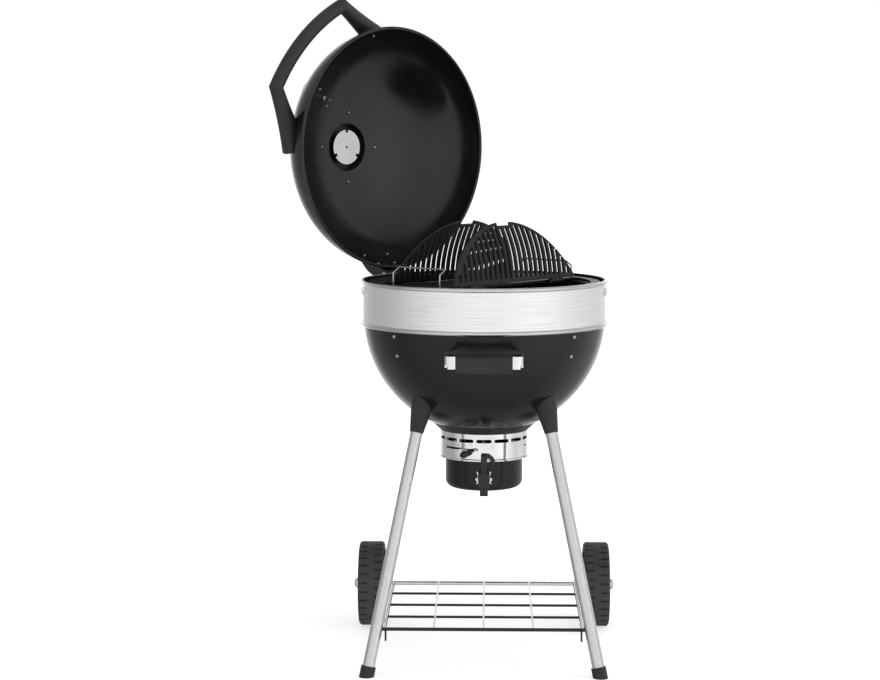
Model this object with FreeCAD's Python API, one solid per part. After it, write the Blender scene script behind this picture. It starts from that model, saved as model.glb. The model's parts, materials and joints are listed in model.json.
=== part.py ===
import FreeCAD, Part
import math
import os

V = FreeCAD.Vector
UP = V(0, 0, 1)

# Kettle charcoal grill, in millimetres, standing open.
# Everything is drawn about the kettle's own axis, with z = 0 at the middle of the rim, and is moved
# once at the end: the frame's origin is on the floor, under the middle of the open grill's box.
RIM_HEIGHT = 880.0
AXIS_X = 91.0
AXIS_Y = -59.0

# Bowl: a short cylinder over half an ellipsoid
BOWL_R = 282.4
BOWL_DEPTH = 279.0
BOWL_BASE_Z = -80.0
BOWL_WALL = 2.0
BOWL_TOP_Z = 4.0
BAND_WALL = 1.6
RING_R = 290.0
RING_HALF = 5.0
LOWER_RING_Z = -97.0
TAB_AZIMUTHS = (-136.5, -43.5, 43.5, 112.0)
TAB_HALF_WIDTH = 13.0
TAB_SCREW_Z = (-112.0, -157.0)

# Lid: half an ellipsoid with a rolled edge, drawn shut
LID_R = 290.5
LID_DEPTH = 184.0
LID_BASE_Z = 9.3
LID_WALL = 2.0
LID_BEAD_R = 4.0

# Lid hinge: a tangent axis outside the rim; the grill is drawn with the lid thrown right back
HINGE_AZIMUTH = 134.0
HINGE_R = 306.8
HINGE_Z = -0.6
LID_OPEN = 90.0
PIN_R = 4.0
HINGE_KNUCKLE_R = 9.0
RUNNING = 0.05

# Lid handle: two arms and a bowed grip, in front when the lid is shut
HANDLE_BASE_ANGLE = 41.0
HANDLE_BASE_Z = 74.0
HANDLE_CORNER = (141.0, -337.5, 47.0)
HANDLE_BOW = 22.0
GRIP_HALF_DEPTH = 16.5
GRIP_HALF_HEIGHT = 17.0

# Top vent and thermometer
VENT_HOLE_R = 59.0
VENT_TUBE_R = 62.0
VENT_SCREW_R = 86.0
VENT_TOP_Z = 216.0
VENT_WINDOWS = 4
LINER_R = 43.0
LINER_Z = 189.0
THERMO_AZIMUTH = -85.0
THERMO_R = 158.0
THERMO_CASE_R = 42.0
THERMO_BASE_R = 60.0
THERMO_CASE_H = 34.0
THERMO_SCREWS = ((186.0, -86.0), (129.0, -84.0))

# Cooking grid: fixed ring and centre strip, with a hinged flap on each side
GRID_ANGLE = 50.7
GRID_RING_R = 271.0
GRID_RING_IN = 249.0
GRID_TOP_Z = -0.5
GRID_PLATE = 6.0
GRID_RING_DEEP = 12.0
FLAP_AXIS_Y = 96.0
FLAP_R = 246.0
FLAP_RAISED = 107.0
FLAP_KNUCKLE_X = 150.0
FLAP_PIN_R = 3.0
SLOT_PITCH = 18.0
SLOT_WIDTH = 9.5
FLAP_WAVE = 20.0
STRIP_WAVE = 8.0
LIFT_HANDLE_X = 226.0
LIFT_HANDLE_HALF = 70.0
LIFT_WIRE_R = 2.0
LIFT_HANDLE_SHIFT = 14.0

# Charcoal grate
GRATE_Z = -163.0
GRATE_R = 245.0
GRATE_ROD_PITCH = 20.0

# Ash housing, its lever and sweep blades
HOUSING_R = 102.0
HOUSING_WALL = 1.5
HOUSING_TOP_Z = -350.0
HOUSING_LIP_Z = -411.0
AIR_SLOTS = 15
AIR_SLOT_Z = -365.5
LEVER_Z = -385.0
LEVER_AZIMUTH = -102.0
LEVER_TRAVEL = 44.0
SHAFT_R = 5.0

# Ash bucket and latch
BUCKET_R = 91.0
BUCKET_TOP_Z = -412.9
BUCKET_BOTTOM_Z = -486.0
LATCH_Y = -113.0
LATCH_Z = -452.0
LATCH_PIN_R = 2.5

# Stand: four splayed tubes, axle and wheels
LEG_SPREAD_TOP = 154.0
LEG_TOP_Z = -334.0
LEG_SPREAD_FLOOR = 265.0
LEG_R = 14.0
LEG_WALL = 1.5
AXLE_R = 5.0
WHEEL_R = 104.0
WHEEL_IN_X = 247.5
WHEEL_WIDTH = 62.0
WHEEL_CORE_R = 88.0

# Shelf
SHELF_ROD_Z = -775.0
SHELF_RAIL_R = 4.0
SHELF_ROD_R = 3.0
SHELF_WIRE_R = 2.0
SHELF_WIRE_PITCH = 112.2

# Bowl handle
BOWL_GRIP_HALF = 63.0
BOWL_GRIP_Y = -341.0
BOWL_GRIP_Z = -161.0


# ---------------------------------------------------------------- drawing helpers

def outline(points):
    """A closed wire in the XZ plane. A triple (x, z, "via") is the middle of an arc."""
    edges = []
    start = points[0]
    closed = points[1:] + [points[0]]
    index = 0
    while index < len(closed):
        here = V(start[0], 0, start[1])
        if len(closed[index]) == 3:
            middle = V(closed[index][0], 0, closed[index][1])
            index += 1
            there = V(closed[index][0], 0, closed[index][1])
            edges.append(Part.Arc(here, middle, there).toShape())
        else:
            there = V(closed[index][0], 0, closed[index][1])
            edges.append(Part.LineSegment(here, there).toShape())
        start = closed[index]
        index += 1
    return Part.Wire(edges)


def turned(points, angle=360.0):
    """Solid of revolution about Z, from an (r, z) outline."""
    return Part.Face(outline(points)).revolve(V(0, 0, 0), UP, angle)


def slab(points, thickness, z=0.0):
    """Flat plate: an (x, y) outline, extruded upwards from z."""
    edges = [V(x, y, z) for x, y in points]
    return Part.Face(Part.makePolygon(edges + [edges[0]])).extrude(V(0, 0, thickness))


def side_plate(points, half_width):
    """Plate with an (x, z) outline, extruded along Y on both sides of y = 0."""
    plate = Part.Face(outline(points)).extrude(V(0, 2 * half_width, 0))
    plate.translate(V(0, -half_width, 0))
    return plate


def box(low, high):
    return Part.makeBox(high[0] - low[0], high[1] - low[1], high[2] - low[2], V(*low))


def tube(outer, inner, low, high):
    return Part.makeCylinder(outer, high - low, V(0, 0, low)).cut(
        Part.makeCylinder(inner, high - low + 2, V(0, 0, low - 1)))


def rod(points, radius):
    """Bent rod: straight runs joined by balls."""
    pieces = []
    for a, b in zip(points[:-1], points[1:]):
        pieces.append(Part.makeCylinder(radius, (b - a).Length, a, b - a))
    for corner in points[1:-1]:
        pieces.append(Part.makeSphere(radius, corner))
    return fused(pieces)


def fused(pieces):
    if len(pieces) == 1:
        return pieces[0]
    return pieces[0].multiFuse(pieces[1:]).removeSplitter()


def largest(shape):
    return max(shape.Solids, key=lambda solid: solid.Volume)


def nearest(shape, point):
    vertex = Part.Vertex(point)
    return min(shape.Solids, key=lambda solid: solid.distToShape(vertex)[0])


def around(shape, angle):
    """Copy of a shape, turned about the kettle axis."""
    copy = shape.copy()
    copy.rotate(V(0, 0, 0), UP, angle)
    return copy


def mirrored(shape):
    return shape.mirror(V(0, 0, 0), V(1, 0, 0))


def placed(shape, point, direction):
    """Copy of a shape drawn about Z, with its Z axis turned to a direction at a point."""
    copy = shape.copy()
    copy.Placement = FreeCAD.Placement(point, FreeCAD.Rotation(UP, direction)).multiply(copy.Placement)
    return copy


def domed_head(head_r):
    return turned([(0, 0), (head_r, 0), (head_r, 1.0), (head_r * 0.74, 2.6, "via"), (1.2, 3.2), (0, 3.2)])


def screw(point, normal, clamp, head_r=4.5, shank_r=2.5):
    """Domed screw: head outside the surface, nut behind the clamped thickness."""
    shank = Part.makeCylinder(shank_r, clamp + 5.0, V(0, 0, -clamp - 5.0))
    nut = Part.makeCylinder(4.4, 3.4, V(0, 0, -clamp - 3.6))
    return placed(fused([domed_head(head_r), shank, nut]), point, normal)


def blind_screw(point, normal, length, head_r=4.5, shank_r=2.5):
    """Domed screw that ends inside the piece it holds."""
    shank = Part.makeCylinder(shank_r, length, V(0, 0, -length))
    return placed(fused([domed_head(head_r), shank]), point, normal)


def hole(point, normal, depth, radius=2.5):
    drill = Part.makeCylinder(radius, depth + 2, V(0, 0, -depth - 1))
    return placed(drill, point, normal)


# ---------------------------------------------------------------- kettle surfaces

def ellipsoid_body(radius, depth, base_z, end_z):
    """Half ellipsoid with its pole this far below base_z, and a cylinder from base_z to end_z."""
    rim = V(radius, 0, base_z)
    pole = V(0, 0, base_z - depth)
    arc = Part.ArcOfEllipse(Part.Ellipse(rim, pole, V(0, 0, base_z)), 0, math.pi / 2).toShape()
    corners = [pole, V(0, 0, end_z), V(radius, 0, end_z)]
    if abs(end_z - base_z) > 1e-6:
        corners.append(rim)
    edges = [Part.LineSegment(a, b).toShape() for a, b in zip(corners[:-1], corners[1:])]
    return Part.Face(Part.Wire(edges + [arc])).revolve(V(0, 0, 0), UP, 360)


def bowl_body(offset=0.0, end_z=BOWL_TOP_Z):
    return ellipsoid_body(BOWL_R + offset, BOWL_DEPTH + offset, BOWL_BASE_Z, end_z)


def dome_body(offset=0.0):
    return ellipsoid_body(LID_R + offset, -LID_DEPTH - offset, LID_BASE_Z, LID_BASE_Z)


def bowl_radius(z, offset=0.0):
    if z > BOWL_BASE_Z:
        return BOWL_R + offset
    drop = (BOWL_BASE_Z - z) / (BOWL_DEPTH + offset)
    return (BOWL_R + offset) * math.sqrt(1.0 - drop * drop)


def dome_height(r, offset=0.0):
    share = r / (LID_R + offset)
    return LID_BASE_Z + (LID_DEPTH + offset) * math.sqrt(1.0 - share * share)


def polar(r, azimuth, z):
    angle = math.radians(azimuth)
    return V(r * math.cos(angle), r * math.sin(angle), z)


def surface_normal(point, radius, depth, base_z):
    normal = V(point.x / radius ** 2, point.y / radius ** 2, (point.z - base_z) / depth ** 2)
    return normal.normalize()


def bowl_point(azimuth, z, offset=0.0):
    """A point on the bowl's wall and the outward normal there."""
    point = polar(bowl_radius(z, offset), azimuth, z)
    if z > BOWL_BASE_Z:
        return point, polar(1.0, azimuth, 0.0)
    return point, surface_normal(point, BOWL_R + offset, BOWL_DEPTH + offset, BOWL_BASE_Z)


def dome_point(azimuth, r, offset=0.0):
    """A point on the shut lid's wall and the outward normal there."""
    point = polar(r, azimuth, dome_height(r, offset))
    return point, surface_normal(point, LID_R + offset, LID_DEPTH + offset, LID_BASE_Z)


# ---------------------------------------------------------------- bowl

def tab_screw_places():
    return [bowl_point(azimuth, z) for azimuth in TAB_AZIMUTHS for z in TAB_SCREW_Z]


def leg_axis_point(sx, sy, z):
    spread = leg_spread(z)
    return V(sx * spread, sy * spread, z)


def leg_spread(z):
    share = (z - LEG_TOP_Z) / (-RIM_HEIGHT - LEG_TOP_Z)
    return LEG_SPREAD_TOP + share * (LEG_SPREAD_FLOOR - LEG_SPREAD_TOP)


def leg_direction(sx, sy):
    low = leg_axis_point(sx, sy, -RIM_HEIGHT)
    high = leg_axis_point(sx, sy, LEG_TOP_Z)
    return (high - low).normalize()


LEG_CORNERS = {"front_left": (-1, -1), "front_right": (1, -1), "rear_left": (-1, 1), "rear_right": (1, 1)}
SOCKET_BOLT_Z = -272.0
ASH_SLOTS = 4


def socket_bolt_places():
    places = []
    for azimuth in (-135.0, -45.0, 45.0, 135.0):
        point, normal = bowl_point(azimuth, SOCKET_BOLT_Z, -BOWL_WALL)
        places.append((point - normal * 0.1, normal * -1.0))
    return places


def bowl():
    shell = bowl_body().cut(bowl_body(-BOWL_WALL, BOWL_TOP_Z + 1))
    cuts = [hole(p, n, BOWL_WALL + 6) for p, n in tab_screw_places()]
    cuts += [hole(p, n, BOWL_WALL + 4) for p, n in socket_bolt_places()]
    cuts += [hole(p, n, 8) for p, n in handle_screw_places()]
    cuts += [hole(p, n, 14) for p, n in hinge_screw_places()]
    bottom = BOWL_BASE_Z - BOWL_DEPTH
    cuts.append(Part.makeCylinder(SHAFT_R + RUNNING, 40, V(0, 0, bottom - 10)))
    slot = box((28, -16, bottom - 10), (76, 16, bottom + 60))
    cuts += [around(slot, 45 + 90 * k) for k in range(ASH_SLOTS)]
    return shell.cut(cuts)


def bowl_band():
    low = LOWER_RING_Z + RING_HALF
    band = tube(BOWL_R + BAND_WALL, BOWL_R, low, -RING_HALF)
    return band.cut([hole(p, n, 14) for p, n in hinge_screw_places()])


def bead_ring(z):
    edge = BOWL_R + 2.6
    return turned([(BOWL_R, z - RING_HALF), (edge, z - RING_HALF), (RING_R, z, "via"),
                   (edge, z + RING_HALF), (BOWL_R, z + RING_HALF)])


def band_clips():
    outer = BOWL_R + BAND_WALL
    clip = side_plate([(outer + 0.1, -30), (outer + 2.5, -30), (outer + 6, -24), (outer + 6, -12),
                       (outer + 3.5, -12), (outer + 3.5, -21), (outer + 0.1, -22)], 5.0)
    return [around(clip, azimuth) for azimuth in (-171.0, -11.0)]


def support_tabs():
    wall = [-18.0, -80.0, -112.0, -135.0, -157.0, -170.0]
    outer = [(bowl_radius(z, -BOWL_WALL) - 0.1, z) for z in wall]
    inner = [(r - 2.5, z) for r, z in outer[1:-1]]
    top = outer[0][0]
    foot = outer[-1]
    profile = [(256, -12.8), (top, -12.8)] + outer + [(238, foot[1]), (238, foot[1] + 2.5)]
    profile += [(foot[0] - 3.0, foot[1] + 2.5)] + inner[::-1] + [(top - 2.5, -15.3), (256, -15.3)]
    sweep = math.degrees(2 * TAB_HALF_WIDTH / BOWL_R)
    tab = around(turned(profile, sweep), -sweep / 2)
    drills = [hole(p, n, 12) for p, n in tab_screw_places()]
    return [around(tab, azimuth).cut(drills) for azimuth in TAB_AZIMUTHS]


# ---------------------------------------------------------------- stand

def along_leg(sx, sy, z_low, z_high, r_low, r_high):
    low = leg_axis_point(sx, sy, z_low)
    high = leg_axis_point(sx, sy, z_high)
    if r_low == r_high:
        return Part.makeCylinder(r_low, (high - low).Length, low, high - low)
    return Part.makeCone(r_low, r_high, (high - low).Length, low, high - low)


LEG_IN_SOCKET_Z = -298.0
SOCKET_FOOT_Z = -337.0
FRONT_TUBE_END_Z = -872.0
AXLE_Z = -RIM_HEIGHT + WHEEL_R
REAR_TUBE_END_Z = AXLE_Z - 17.0


def leg_sockets():
    kettle = bowl_body(0.0, 0.0)
    sockets = []
    for sx, sy in LEG_CORNERS.values():
        boss = along_leg(sx, sy, SOCKET_FOOT_Z, -250.0, 15.6, 30.0)
        bore = along_leg(sx, sy, SOCKET_FOOT_Z - 20, LEG_IN_SOCKET_Z, LEG_R, LEG_R)
        drills = [placed(Part.makeCylinder(2.5, 21, V(0, 0, -20)), p, n) for p, n in socket_bolt_places()]
        sockets.append(boss.cut([kettle, bore] + drills))
    return sockets


def leg(sx, sy, end_z):
    outer = along_leg(sx, sy, end_z, LEG_IN_SOCKET_Z, LEG_R, LEG_R)
    inner = along_leg(sx, sy, end_z - 10, LEG_IN_SOCKET_Z + 10, LEG_R - LEG_WALL, LEG_R - LEG_WALL)
    if sy < 0:
        return outer.cut(inner)
    return outer.cut([inner, axle_rod(AXLE_R)])


def foot_caps():
    caps = []
    floor = box((-400, -400, -RIM_HEIGHT - 60), (400, 400, -RIM_HEIGHT))
    for sx in (-1, 1):
        cup = along_leg(sx, -1, -RIM_HEIGHT - 20, -857.0, 17.0, 17.0)
        tube_space = along_leg(sx, -1, FRONT_TUBE_END_Z, -840.0, LEG_R, LEG_R)
        caps.append(cup.cut([floor, tube_space]))
    return caps


def rear_leg_plugs():
    inner = LEG_R - LEG_WALL
    plugs = []
    for sx in (-1, 1):
        lid = along_leg(sx, 1, REAR_TUBE_END_Z - 3, REAR_TUBE_END_Z, LEG_R, LEG_R)
        core = along_leg(sx, 1, REAR_TUBE_END_Z, REAR_TUBE_END_Z + 7, inner, inner)
        plugs.append(fused([lid, core]))
    return plugs


def axle_y():
    return leg_spread(AXLE_Z)


def axle_rod(radius):
    half = WHEEL_IN_X + WHEEL_WIDTH + 8
    return Part.makeCylinder(radius, 2 * half, V(-half, axle_y(), AXLE_Z), V(1, 0, 0))


def axle_caps():
    outer = WHEEL_IN_X + WHEEL_WIDTH
    cap = turned([(0, 13), (0, 8.02), (AXLE_R, 8.02), (AXLE_R, 0.8), (13, 0.8), (13, 5),
                  (9.5, 11, "via"), (3, 13)])
    right = placed(cap, V(outer, axle_y(), AXLE_Z), V(1, 0, 0))
    return [right, mirrored(right)]


def wheel_profiles():
    """Right-hand wheel core and tyre, turned about Z with z = 0 at the inner face."""
    web = 19.0
    core = turned([(AXLE_R + RUNNING, web), (18, web), (18, web + 10), (WHEEL_CORE_R - 4, web + 10),
                   (WHEEL_CORE_R - 4, 2), (WHEEL_CORE_R, 2), (WHEEL_CORE_R, WHEEL_WIDTH - 2),
                   (WHEEL_CORE_R - 4, WHEEL_WIDTH - 2), (WHEEL_CORE_R - 4, web + 14), (20, web + 14),
                   (17, WHEEL_WIDTH), (AXLE_R + RUNNING, WHEEL_WIDTH)])
    windows = [around(box((34, -9, web), (74, 9, web + 30)), 60 * k) for k in range(6)]
    ribs = [around(box((19, -2, web + 13), (WHEEL_CORE_R - 3, 2, WHEEL_WIDTH - 14)), 30 + 60 * k)
            for k in range(6)]
    core = fused([core.cut(windows)] + ribs)
    tyre = turned([(WHEEL_CORE_R, 0), (WHEEL_R - 8, 0), (WHEEL_R - 2.2, 2.6, "via"), (WHEEL_R, 10),
                   (WHEEL_R, WHEEL_WIDTH - 10), (WHEEL_R - 2.2, WHEEL_WIDTH - 2.6, "via"),
                   (WHEEL_R - 8, WHEEL_WIDTH), (WHEEL_CORE_R, WHEEL_WIDTH)])
    return core, tyre.cut(tread_grooves())


TREAD_BLOCKS = 30


def tread_grooves():
    """Two staggered rows of short cross grooves, which leave a plain band round the middle."""
    pitch = 360.0 / TREAD_BLOCKS
    grooves = []
    for k in range(TREAD_BLOCKS):
        low = box((WHEEL_R - 4, -2.2, -1), (WHEEL_R + 2, 2.2, WHEEL_WIDTH * 0.36))
        high = box((WHEEL_R - 4, -2.2, WHEEL_WIDTH * 0.64), (WHEEL_R + 2, 2.2, WHEEL_WIDTH + 1))
        grooves.append(around(low, k * pitch))
        grooves.append(around(high, (k + 0.5) * pitch))
    return grooves


def wheels():
    core, tyre = wheel_profiles()
    nodes = {}
    for name, shape in (("wheel", core), ("tyre", tyre)):
        right = placed(shape, V(WHEEL_IN_X, axle_y(), AXLE_Z), V(1, 0, 0))
        nodes[name + "_right"] = [right]
        nodes[name + "_left"] = [mirrored(right)]
    return nodes


def shelf():
    """Wire shelf: a rail between the front legs, the axle under its back, rods and bright wires."""
    front_y = -leg_spread(SHELF_ROD_Z)
    legs = [along_leg(sx, -1, -860.0, -700.0, LEG_R, LEG_R) for sx in (-1, 1)]
    rail = Part.makeCylinder(SHELF_RAIL_R, -2 * front_y, V(front_y, front_y, SHELF_ROD_Z), V(1, 0, 0))
    rail = nearest(rail.cut(legs), V(0, front_y, SHELF_ROD_Z))
    outer = 2 * SHELF_WIRE_PITCH
    sides = []
    for x in (-outer, outer):
        side = Part.makeCylinder(SHELF_ROD_R, -2 * front_y, V(x, front_y, SHELF_ROD_Z), V(0, 1, 0))
        sides.append(largest(side.cut([rail, axle_rod(AXLE_R)])))
    cross = []
    for k in (-1, 0, 1):
        bar = Part.makeCylinder(SHELF_ROD_R, 2 * outer, V(-outer, k * front_y / 2, SHELF_ROD_Z), V(1, 0, 0))
        cross.append(largest(bar.cut(sides)))
    wire_z = SHELF_ROD_Z + SHELF_RAIL_R + SHELF_WIRE_R + 0.02
    wires = [Part.makeCylinder(SHELF_WIRE_R, -2 * front_y + 10, V(k * SHELF_WIRE_PITCH, front_y - 3, wire_z),
                               V(0, 1, 0)) for k in (-2, -1, 0, 1, 2)]
    ear = box((outer - 4, front_y - 7, SHELF_ROD_Z - 26), (outer, front_y + 7, SHELF_ROD_Z - SHELF_RAIL_R))
    return {"shelf_front_rail": [rail], "shelf_rods": sides + cross, "shelf_wires": wires,
            "shelf_brackets": [ear, mirrored(ear)]}


# ---------------------------------------------------------------- bowl handle

def handle_screw_places():
    places = []
    for sx in (-1, 1):
        azimuth = math.degrees(math.atan2(-262.0, sx * 78.0))
        places.append(bowl_point(azimuth, -152.0, -BOWL_WALL))
    return [(point - normal * 0.1, normal * -1.0) for point, normal in places]


def bowl_handle():
    kettle = bowl_body(0.0, 0.0)
    plate = slab([(-43, -255), (-43, -278), (-50, -290), (-64, -304), (-86, -318), (-88, -325), (-84, -331),
                  (84, -331), (88, -325), (86, -318), (64, -304), (50, -290), (43, -278), (43, -255)], 3.0)
    plate.rotate(V(0, -275, 0), V(1, 0, 0), 13.0)
    plate.translate(V(0, 0, -126.0))
    shield = largest(plate.cut(kettle))
    section = side_plate([(-10, -9), (-10, 9), (-7.4, 15.4, "via"), (-1, 18), (1, 18), (7.4, 15.4, "via"),
                          (10, 9), (10, -9), (7.4, -15.4, "via"), (1, -18), (-1, -18),
                          (-7.4, -15.4, "via")], BOWL_GRIP_HALF)
    section.rotate(V(0, 0, 0), UP, 90)
    section.translate(V(0, BOWL_GRIP_Y, BOWL_GRIP_Z))
    strap = [(BOWL_GRIP_HALF, -351), (75, -352), (82, -349.5), (86, -344), (87, -336), (86, -240),
             (80.5, -240), (81.5, -335), (79, -341), (74, -344), (BOWL_GRIP_HALF, -343)]
    arm = slab(strap, 28.0, -167.5)
    notch = box((80, -360, -168), (90, -318, -159))
    pad = slab([(66, -255), (81.5, -255), (81.5, -272), (66, -276)], 24.0, -165.0)
    bracket = fused([arm.cut(notch), pad]).cut([kettle] + [hole(p, n, 26) for p, n in handle_screw_places()])
    bracket = largest(bracket)
    return {"bowl_handle_shield": [shield], "bowl_handle_grip": [section],
            "bowl_handle_brackets": [bracket, mirrored(bracket)]}


# ---------------------------------------------------------------- lid hinge

HINGE_SCREW_SPREAD = 3.5
HINGE_SCREW_Z = (-30.0, -62.0)


def hinge_screw_places():
    places = []
    for side in (-1, 1):
        for z in HINGE_SCREW_Z:
            azimuth = HINGE_AZIMUTH + side * HINGE_SCREW_SPREAD
            normal = polar(1.0, HINGE_AZIMUTH, 0.0)
            along = polar(1.0, HINGE_AZIMUTH + 90.0, 0.0)
            offset = math.sin(math.radians(side * HINGE_SCREW_SPREAD)) * BOWL_R
            point = normal * (BOWL_R + BAND_WALL + 4.4) + along * offset
            places.append((V(point.x, point.y, z), normal))
    return places


def hinge_base():
    face = BOWL_R + BAND_WALL + 0.4
    plate = side_plate([(face, -80), (face + 4, -80), (face + 4, -9), (face, -9)], 50.0)
    web = side_plate([(face + 3, -60), (face + 3, -10), (HINGE_R - 6, -5), (HINGE_R, HINGE_Z + 2),
                      (HINGE_R + 8, HINGE_Z - 2)], 6.0)
    eye = Part.makeCylinder(HINGE_KNUCKLE_R, 12, V(HINGE_R, -6, HINGE_Z), V(0, 1, 0))
    lugs = []
    for side in (-1, 1):
        lug = fused([web, eye])
        lug.translate(V(0, side * 35.0, 0))
        lugs.append(lug)
    pin_space = Part.makeCylinder(PIN_R, 120, V(HINGE_R, -60, HINGE_Z), V(0, 1, 0))
    base = around(fused([plate] + lugs).cut(pin_space), HINGE_AZIMUTH)
    return base.cut([hole(p, n, 12) for p, n in hinge_screw_places()])


def hinge_pin():
    shank = Part.makeCylinder(PIN_R, 86, V(HINGE_R, -43, HINGE_Z), V(0, 1, 0))
    heads = [Part.makeCylinder(6.5, 3, V(HINGE_R, y, HINGE_Z), V(0, 1, 0)) for y in (-44.1, 41.1)]
    return around(fused([shank] + heads), HINGE_AZIMUTH)


def leaf_screw_places():
    spots = ((266.0, -9.0), (266.0, 9.0), (284.0, -6.0), (284.0, 6.0))
    places = []
    for r, turn in spots:
        point, normal = dome_point(HINGE_AZIMUTH + turn * 0.9, r, -LID_WALL)
        places.append((point - normal * 0.1, normal * -1.0))
    return places


def hinge_arch(inset, half_width):
    """Arched hinge arm, from the lid's shoulder out over the rim to the pin; inset shrinks it."""
    side = [(226 + inset, 124 - inset), (262, 114 - inset, "via"), (292 - inset, 92 - inset),
            (312 - inset, 60, "via"), (317 - inset, 22), (318 - inset, 0 + inset), (306, -3 + inset),
            (296.5 + inset, 14 + inset), (294 + inset, 30), (226 + inset, 30)]
    return side_plate(side, half_width)


def hinge_leaf():
    pad = dome_body(4.5).cut(dome_body(0.3))
    pad = largest(pad.common(side_plate([(222, 24), (320, 24), (320, 124), (222, 124)], 44.0)))
    arch = hinge_arch(0.0, 27.5).cut(hinge_arch(4.0, 23.5))
    arch = largest(arch.cut(dome_body(0.3)))
    knuckle = Part.makeCylinder(HINGE_KNUCKLE_R, 55, V(HINGE_R, -27.5, HINGE_Z), V(0, 1, 0))
    bore = Part.makeCylinder(PIN_R + RUNNING, 120, V(HINGE_R, -60, HINGE_Z), V(0, 1, 0))
    leaf = around(largest(fused([pad, arch, knuckle]).cut(bore)), HINGE_AZIMUTH)
    return leaf.cut([hole(p, n, 9) for p, n in leaf_screw_places()])


# ---------------------------------------------------------------- lid

def vent_screw_places():
    places = []
    for azimuth in (-45.0, 45.0, 135.0, -135.0):
        point, normal = dome_point(azimuth, VENT_SCREW_R, -LID_WALL)
        places.append((point - normal * 0.1, normal * -1.0))
    return places


def handle_base_places():
    places = []
    for side in (-1, 1):
        r = LID_R * math.sqrt(1.0 - ((HANDLE_BASE_Z - LID_BASE_Z) / LID_DEPTH) ** 2)
        point, normal = dome_point(-90.0 + side * HANDLE_BASE_ANGLE, r, -LID_WALL)
        places.append((point - normal * 0.1, normal * -1.0))
    return places


def thermo_place():
    return dome_point(THERMO_AZIMUTH, THERMO_R)


def thermo_screw_places():
    places = [dome_point(azimuth, r, -LID_WALL) for r, azimuth in THERMO_SCREWS]
    return [(point - normal * 0.1, normal * -1.0) for point, normal in places]


def lid_shell():
    shell = dome_body().cut(dome_body(-LID_WALL))
    bead = Part.makeTorus(LID_R - 1.0, LID_BEAD_R, V(0, 0, LID_BASE_Z))
    point, normal = thermo_place()
    cuts = [Part.makeCylinder(VENT_HOLE_R, 60, V(0, 0, LID_DEPTH - 30))]
    for places in (vent_screw_places(), handle_base_places(), leaf_screw_places(), thermo_screw_places()):
        cuts += [hole(p, n, 8) for p, n in places]
    cuts.append(hole(point, normal, 10, 4.0))
    return fused([shell.cut(cuts), bead])


def grip_centre():
    x, y, z = HANDLE_CORNER
    radius = (x * x + HANDLE_BOW ** 2) / (2 * HANDLE_BOW)
    return V(0, y - HANDLE_BOW + radius, z), radius


def mitre_cutter(keep_arm):
    """Half space at the right-hand corner: the grip ends and the arm starts on this plane."""
    corner = V(*HANDLE_CORNER)
    centre, radius = grip_centre()
    radial = (corner - centre).normalize()
    inward = V(radial.y, -radial.x, 0)
    base = handle_base_places()[1][0]
    normal = (inward - (base - corner).normalize()).normalize()
    if keep_arm:
        normal = normal * -1.0
    block = Part.makeBox(400, 400, 400, V(-200, -200, -400))
    return placed(block, corner, normal)


def lid_grip():
    centre, radius = grip_centre()
    ellipse = Part.Ellipse(V(0, 0, GRIP_HALF_HEIGHT), V(GRIP_HALF_DEPTH, 0, 0), V(0, 0, 0))
    face = Part.Face(Part.Wire(ellipse.toShape()))
    face.translate(V(radius, 0, 0))
    sweep = 2 * math.degrees(math.asin((HANDLE_CORNER[0] + 20) / radius))
    bar = face.revolve(V(0, 0, 0), UP, sweep)
    bar.rotate(V(0, 0, 0), UP, -90 - sweep / 2)
    bar.translate(centre)
    right = mitre_cutter(False)
    return bar.cut([right, mirrored(right)])


def oblong(half_w, half_h, origin, x_dir, y_dir):
    """Closed oval wire, for lofting the arms."""
    points = []
    for k in range(12):
        angle = math.radians(30.0 * k)
        points.append(origin + x_dir * (half_w * math.cos(angle)) + y_dir * (half_h * math.sin(angle)))
    curve = Part.BSplineCurve()
    curve.interpolate(points, PeriodicFlag=True)
    return Part.Wire(curve.toShape())


def lid_arm():
    """Right-hand arm, from inside the dome wall to past the corner."""
    corner = V(*HANDLE_CORNER)
    base, inward = handle_base_places()[1]
    run = (corner - base).normalize()
    across = run.cross(UP).normalize()
    rise = across.cross(run).normalize()
    start = base - run * 22.0
    end = corner + run * 26.0
    length = (end - start).Length
    wires = []
    for share, half_w, half_h in ((0.0, 34.0, 25.0), (0.35, 24.0, 19.0), (1.0, 15.5, 16.5)):
        wires.append(oblong(half_w, half_h, start + run * (length * share), across, rise))
    arm = Part.makeLoft(wires, True, False)
    arm = arm.cut([dome_body(0.0), mitre_cutter(True)])
    arm = largest(arm)
    point, normal = handle_base_places()[1]
    return arm.cut(placed(Part.makeCylinder(2.5, 24, V(0, 0, -24)), point, normal))


def window_cutters(inner, outer, low, high, start):
    """Four wedge windows through an upright wall."""
    wedges = []
    for k in range(VENT_WINDOWS):
        ring = [(inner, low), (outer, low), (outer, high), (inner, high)]
        wedges.append(around(turned(ring, 36.0), start + k * 90.0 - 18.0))
    return wedges


def vent_base():
    flange_top = dome_height(VENT_SCREW_R) + 3.0
    flange = tube(100, VENT_TUBE_R - 3, 150, flange_top + 6).cut(dome_body(0.0))
    slope = dome_body(3.5).common(Part.makeCylinder(100, 400, V(0, 0, 0)))
    flange = flange.common(fused([slope, Part.makeCylinder(VENT_TUBE_R + 4, 300, V(0, 0, 0))]))
    wall = tube(VENT_TUBE_R, VENT_HOLE_R, dome_height(VENT_HOLE_R) + 0.05, VENT_TOP_Z - 1.0)
    base = fused([flange, wall])
    base = base.cut(window_cutters(50, 70, 197, 210, 0.0))
    drills = [hole(p, n, 14) for p, n in vent_screw_places()]
    return largest(base.cut(drills))


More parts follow.
